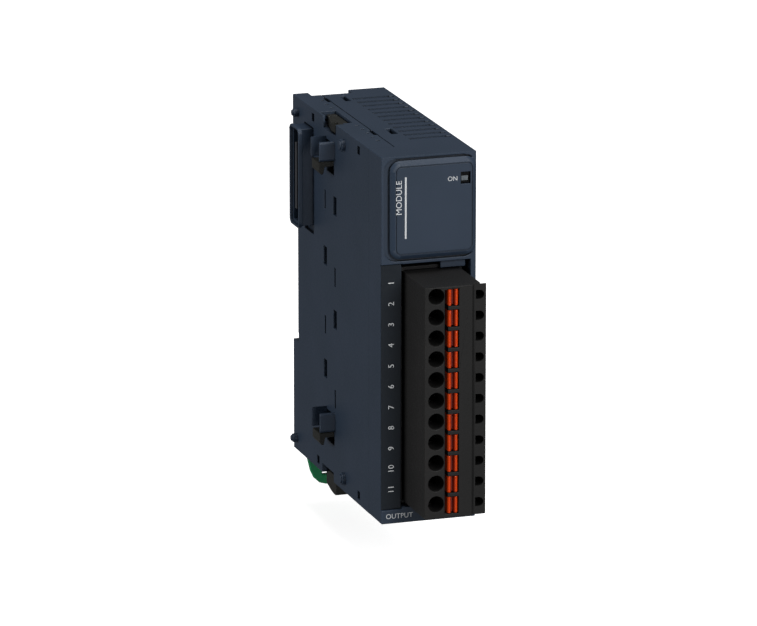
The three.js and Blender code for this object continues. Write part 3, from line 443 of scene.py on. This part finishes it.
# ---- Rail clip ----
# A green acetal slide whose nose hooks behind the rail's lower edge, pulled down by its loop.
# It is smooth and half glossy, the one bright green on the module.
clip_plastic = moulded_plastic("green_acetal", "0b8f55", "0f9b5e", grain=0.8, relief=0.004,
                               gloss=0.3, matt=0.42)
softened("rail_clip", "clip_slide", "rail_clip", "clip_plastic", clip_plastic, edge=0.25)

# ---- Terminal plug ----
# A black glass-filled polyamide body that pulls off to the front, with a wire hole, a release
# button and a test hole for each of its eleven poles. The glass fibres leave its skin rough, a
# dull neutral black beside the bluer case.
plug_plastic = moulded_plastic("glass_filled_polyamide", "171717", "1d1c1c", grain=0.35, relief=0.02,
                               gloss=0.5, matt=0.68, level=0.35)
wing_front = -80.0  # mm, where the test holes open
softened("terminal_plug", "plug_body", "terminal_plug", "plug_plastic", plug_plastic, edge=0.15,
         sharp_planes=((1, wing_front),))


def spring_strip():
    """Bright rolled steel strip: fine lines 0.2 mm apart along the strip."""
    material, tree, place = start_material("rolled_spring_steel")
    stretch = add_node(tree, "Mapping", {"Vector": place, "Scale": (1, 0.06, 1)})
    lines = add_node(tree, "TexNoise", {"Vector": stretch.outputs[0], "Scale": 1 / (0.2 * mm), "Detail": 2})
    tone = add_node(tree, "Mix", {0: lines.outputs[0], 6: linear("8b8e93"), 7: linear("b3b6bb")},
                    data_type="RGBA")
    rough = add_node(tree, "MapRange", {"Value": lines.outputs[0], "To Min": 0.25, "To Max": 0.45})
    finish_material(tree, Base_Color=tone.outputs[2], Roughness=rough.outputs[0], Metallic=1.0)
    return material


steel = spring_strip()
for pole in poles:
    dress(f"wire_clamp_{pole}", steel)


# ---- Release buttons ----
# Orange acetal, moulded smooth, with two round ribs and a channel between them for a screwdriver.
# The ribs are polished glossy and the channel is duller; the colour adds a painted highlight on the ribs
# and painted shade, a darker red, in the channel.
def ribbed_acetal(middle, channel, rib):
    """Orange acetal with painted shade in a channel, dark red there, going to a painted highlight on the
    ribs beside it, where middle is the channel's place from left to right and both other sizes are half
    widths, all in mm."""
    material, tree, place = start_material("orange_acetal")
    sides = add_node(tree, "SeparateXYZ", {"Vector": place})
    offset = add_node(tree, "Math", {0: sides.outputs["X"], 1: middle * mm}, operation="SUBTRACT")
    reach = add_node(tree, "Math", {0: offset.outputs[0]}, operation="ABSOLUTE")
    # Painted light: 0 in the channel, where painted shade darkens the orange, rising to 1 on the ribs,
    # where a painted highlight brightens it.
    painted_light_mask = add_node(tree, "MapRange", {"Value": reach.outputs[0], "From Min": channel * mm,
                                        "From Max": rib * mm}, interpolation_type="SMOOTHSTEP")
    skin = add_node(tree, "TexNoise", {"Vector": place, "Scale": 1 / (0.8 * mm), "Detail": 2})
    # The ribs' bright orange is a painted highlight, with a random tone from the skin noise.
    bright = add_node(tree, "Mix", {0: skin.outputs[0], 6: linear("e0420a"), 7: linear("ea4d12")},
                      data_type="RGBA")
    # Painted shade 7c1a05 in the channel, blended into the painted highlight on the ribs.
    tone = add_node(tree, "Mix", {0: painted_light_mask.outputs[0], 6: linear("7c1a05"), 7: bright.outputs[2]},
                    data_type="RGBA")
    gloss = add_node(tree, "MapRange", {"Value": painted_light_mask.outputs[0], "To Min": 0.45, "To Max": 0.2})
    dents = add_node(tree, "Bump", {"Height": skin.outputs[0], "Distance": 0.003 * mm, "Strength": 1.0})
    finish_material(tree, Base_Color=tone.outputs[2], Roughness=gloss.outputs[0],
                    Normal=dents.outputs[0], IOR=1.5)
    return material


button_plastic = ribbed_acetal(middle=1.22, channel=0.2, rib=0.85)
for pole in poles:
    softened(f"release_button_{pole}", f"button_{pole}", f"release_button_{pole}", "button_plastic",
             button_plastic, edge=0.12)

# ---- Floor and light ----
# A plain white floor and four soft boxes. The floor is drawn for the camera alone, so the dark
# plastics don't mirror it, and it lies where the rail clip just clears it when pulled down.
clip_room = 5.1  # mm
floor_half = 8  # metres
sheet = bmesh.new()
bmesh.ops.create_grid(sheet, x_segments=1, y_segments=1, size=floor_half)
bmesh.ops.translate(sheet, verts=sheet.verts, vec=(0, 0, cad_box[0].z - clip_room * mm))
floor_mesh = bpy.data.meshes.new("floor")
sheet.to_mesh(floor_mesh)
sheet.free()
floor = bpy.data.objects.new("floor", floor_mesh)
bpy.context.scene.collection.objects.link(floor)
paper, tree, place = start_material("white_paper")
fibres = add_node(tree, "TexNoise", {"Vector": place, "Scale": 1 / (30 * mm)})
tone = add_node(tree, "Mix", {0: fibres.outputs[0], 6: linear("f6f6f6"), 7: linear("fafafa")},
                data_type="RGBA")
finish_material(tree, Base_Color=tone.outputs[2], Roughness=0.9, Emission_Color=linear("ffffff"),
                Emission_Strength=0.8)
floor_mesh.materials.append(paper)
floor.visible_diffuse = floor.visible_glossy = floor.visible_shadow = False

sky = bpy.data.worlds.new("studio")
sky.use_nodes = True
tree = sky.node_tree
tree.nodes.clear()
seen = add_node(tree, "LightPath").outputs["Is Camera Ray"]
strength = add_node(tree, "MapRange", {"Value": seen, "To Min": 0.12, "To Max": 1.0})
wall = add_node(tree, "Background", {"Color": linear("ffffff"), "Strength": strength.outputs[0]})
add_node(tree, "OutputWorld", {"Surface": wall.outputs[0]})
bpy.context.scene.world = sky


def soft_box(name, azimuth, height, distance, size, watts):
    """A square soft box aimed at the module; azimuth and height in degrees, the rest in metres."""
    data = bpy.data.lights.new(name, "AREA")
    data.shape, data.size, data.energy = "SQUARE", size, watts
    turn, lift = math.radians(azimuth), math.radians(height)
    towards = Vector((math.sin(turn) * math.cos(lift), -math.cos(turn) * math.cos(lift), math.sin(lift)))
    lamp = bpy.data.objects.new(name, data)
    lamp.location = view_target + towards * distance
    lamp.rotation_euler = (-towards).to_track_quat("-Z", "Y").to_euler()
    bpy.context.scene.collection.objects.link(lamp)


soft_box("key", azimuth=14, height=24, distance=1.3, size=0.45, watts=8)
soft_box("low front fill", azimuth=-5, height=-6, distance=1.5, size=0.3, watts=2.8)
soft_box("side fill", azimuth=-96, height=12, distance=1.3, size=0.6, watts=6.5)
soft_box("overhead", azimuth=10, height=80, distance=1.3, size=0.7, watts=7.5)
bpy.context.scene.view_settings.view_transform = "Standard"
